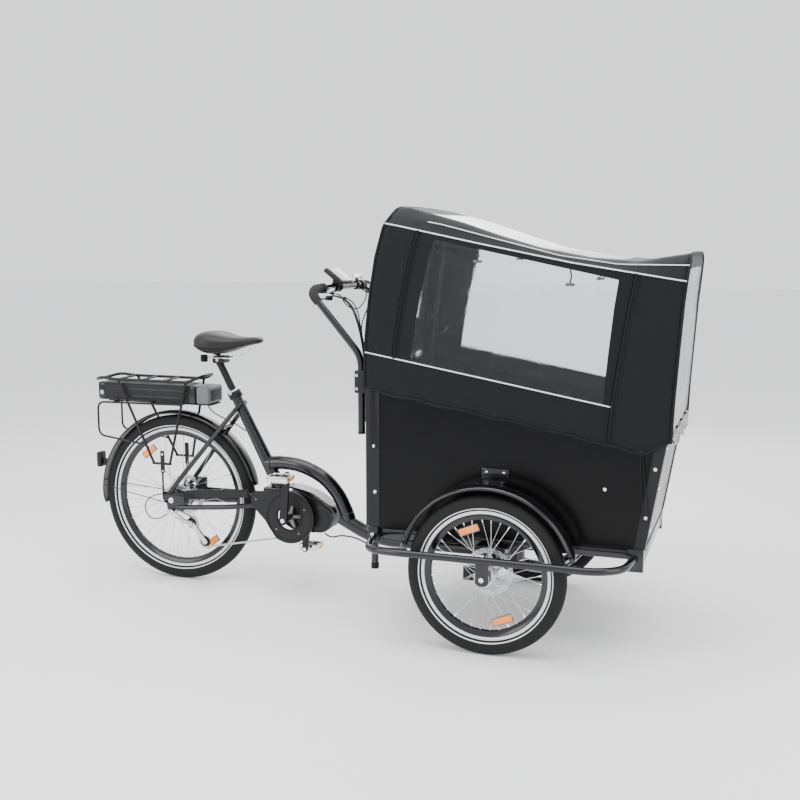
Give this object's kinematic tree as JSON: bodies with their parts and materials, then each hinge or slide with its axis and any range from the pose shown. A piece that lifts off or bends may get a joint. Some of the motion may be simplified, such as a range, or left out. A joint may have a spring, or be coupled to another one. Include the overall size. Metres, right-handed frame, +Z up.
{
  "type": "cargo tricycle",
  "caption": "Pedal and motor cargo tricycle: one driven wheel behind, a steered cargo box between two smaller wheels in front, and a windowed rain canopy over the box.",
  "frame": {"origin": "under the middle of the whole tricycle, on the ground", "axes": "+X forward, +Y to the rider's left, +Z up"},
  "size_m": [2.3271, 0.957, 1.452],
  "materials": {
    "gloss_black_paint": "gloss",
    "satin_black_plastic": "satin",
    "gloss_black_plastic": "gloss",
    "tyre_rubber": "matte",
    "black_rubber": "matte",
    "steel": "brushed",
    "chrome_trim": "polished",
    "black_panel": "semi-gloss",
    "satin_black_metal": "satin",
    "saddle_vinyl": "satin",
    "canopy_fabric": "matte woven"
  },
  "bodies": {
    "frame": {"rear_frame": "gloss_black_paint", "motor_housing": "satin_black_plastic", "motor_cover": "satin_black_plastic", "chain_cover": "satin_black_plastic", "chain": "steel", "derailleur": "steel", "rear_mudguard": "gloss_black_plastic", "rack": "gloss_black_paint", "battery_dock": "satin_black_plastic", "rear_brake_caliper": "satin_black_plastic", "battery_cable": "black_rubber", "gear_cable": "black_rubber", "motor_cable": "black_rubber"},
    "rear_wheel": {"rear_tyre": "tyre_rubber", "rear_rim": "gloss_black_paint", "rear_hub": "steel"},
    "cassette": {"cassette": "steel"},
    "upper_jockey": {"upper_jockey_wheel": "steel"},
    "lower_jockey": {"lower_jockey_wheel": "steel"},
    "crank": {"chainring": "steel", "crank_right": "satin_black_plastic", "crank_left": "satin_black_plastic"},
    "pedal_right": {"pedal_right": "chrome_trim"},
    "pedal_left": {"pedal_left": "chrome_trim"},
    "seat": {"seat_post": "gloss_black_paint", "saddle": "saddle_vinyl", "saddle_rails": "steel"},
    "seat_lever": {"seat_clamp_lever": "steel"},
    "battery": {"battery": "satin_black_plastic"},
    "box": {"side_panel_right": "black_panel", "side_panel_left": "black_panel", "rear_panel": "black_panel", "front_panel": "black_panel", "box_floor": "black_panel", "bench": "black_panel", "rear_post_right": "satin_black_metal", "rear_post_left": "satin_black_metal", "front_post_right": "satin_black_metal", "front_post_left": "satin_black_metal", "box_subframe": "gloss_black_paint", "front_mudguard_right": "gloss_black_plastic", "front_mudguard_left": "gloss_black_plastic"},
    "front_wheel_right": {"front_tyre_right": "tyre_rubber", "front_rim_right": "gloss_black_paint", "front_hub_right": "steel"},
    "front_wheel_left": {"front_tyre_left": "tyre_rubber", "front_rim_left": "gloss_black_paint", "front_hub_left": "steel"},
    "handlebar": {"handlebar": "gloss_black_paint", "grip_right": "black_rubber", "grip_left": "black_rubber", "display": "satin_black_plastic", "bell": "chrome_trim", "bar_cables": "black_rubber"},
    "brake_lever_right": {"brake_lever_right": "steel"},
    "brake_lever_left": {"brake_lever_left": "steel"},
    "shifter": {"shifter": "satin_black_plastic"},
    "canopy": {"canopy_cover": "canopy_fabric", "hoop_rear": "satin_black_metal", "hoop_front": "satin_black_metal"}
  },
  "joints": [
    {"name": "rear_wheel_spin", "type": "hinge", "parent": "frame", "child": "rear_wheel", "pos_m": [-0.7915, 0, 0.33], "axis": [0, 1, 0], "continuous": true},
    {"name": "crank_spin", "type": "hinge", "parent": "frame", "child": "crank", "pos_m": [-0.2885, 0, 0.302], "axis": [0, 1, 0], "continuous": true},
    {"name": "cassette_spin", "type": "hinge", "parent": "frame", "child": "cassette", "pos_m": [-0.7915, 0, 0.33], "axis": [0, 1, 0], "continuous": true},
    {"name": "upper_jockey_spin", "type": "hinge", "parent": "frame", "child": "upper_jockey", "pos_m": [-0.7155, -0.047, 0.241], "axis": [0, 1, 0], "continuous": true},
    {"name": "lower_jockey_spin", "type": "hinge", "parent": "frame", "child": "lower_jockey", "pos_m": [-0.6595, -0.047, 0.17], "axis": [0, 1, 0], "continuous": true},
    {"name": "pedal_right_spin", "type": "hinge", "parent": "crank", "child": "pedal_right", "pos_m": [-0.2701, -0.178, 0.477], "axis": [0, 1, 0], "continuous": true},
    {"name": "pedal_left_spin", "type": "hinge", "parent": "crank", "child": "pedal_left", "pos_m": [-0.3069, 0.178, 0.127], "axis": [0, 1, 0], "continuous": true},
    {"name": "seat_post_slide", "type": "slide", "parent": "frame", "child": "seat", "axis": [-0.4633, 0, 0.8862], "range_m": [-0.06, 0.08]},
    {"name": "seat_lever_hinge", "type": "hinge", "parent": "frame", "child": "seat_lever", "pos_m": [-0.5456, -0.034, 0.762], "axis": [-0.4633, 0, 0.8862], "range_deg": [-110, 0]},
    {"name": "battery_slide", "type": "slide", "parent": "frame", "child": "battery", "axis": [-1, 0, 0], "range_m": [0, 0.38]},
    {"name": "steer", "type": "hinge", "parent": "frame", "child": "box", "pos_m": [0.5695, 0, 0.3], "axis": [0, 0, 1], "range_deg": [-28, 28]},
    {"name": "front_wheel_right_spin", "type": "hinge", "parent": "box", "child": "front_wheel_right", "pos_m": [0.5695, -0.415, 0.265], "axis": [0, 1, 0], "continuous": true},
    {"name": "front_wheel_left_spin", "type": "hinge", "parent": "box", "child": "front_wheel_left", "pos_m": [0.5695, 0.415, 0.265], "axis": [0, 1, 0], "continuous": true},
    {"name": "handlebar_height", "type": "slide", "parent": "box", "child": "handlebar", "axis": [0, 0, 1], "range_m": [0, 0.08]},
    {"name": "brake_lever_right_pull", "type": "hinge", "parent": "handlebar", "child": "brake_lever_right", "pos_m": [-0.0615, -0.185, 1.168], "axis": [0, 0, 1], "range_deg": [-12, 0], "stiffness_Nm_per_rad": 1.5, "springref_deg": 6.88},
    {"name": "brake_lever_left_pull", "type": "hinge", "parent": "handlebar", "child": "brake_lever_left", "pos_m": [-0.0615, 0.185, 1.168], "axis": [0, 0, 1], "range_deg": [0, 12], "stiffness_Nm_per_rad": 1.5, "springref_deg": -6.88},
    {"name": "shifter_turn", "type": "hinge", "parent": "handlebar", "child": "shifter", "pos_m": [-0.0815, -0.15, 1.138], "axis": [0, 0, 1], "range_deg": [-25, 25]},
    {"name": "canopy_lift", "type": "slide", "parent": "box", "child": "canopy", "axis": [0, 0, 1], "range_m": [0, 0.35]}
  ],
  "couplings": [
    {"joint": "cassette_spin", "follows": "crank_spin", "ratio": 2},
    {"joint": "upper_jockey_spin", "follows": "crank_spin", "ratio": -3.4545},
    {"joint": "lower_jockey_spin", "follows": "crank_spin", "ratio": 3.4545}
  ]
}
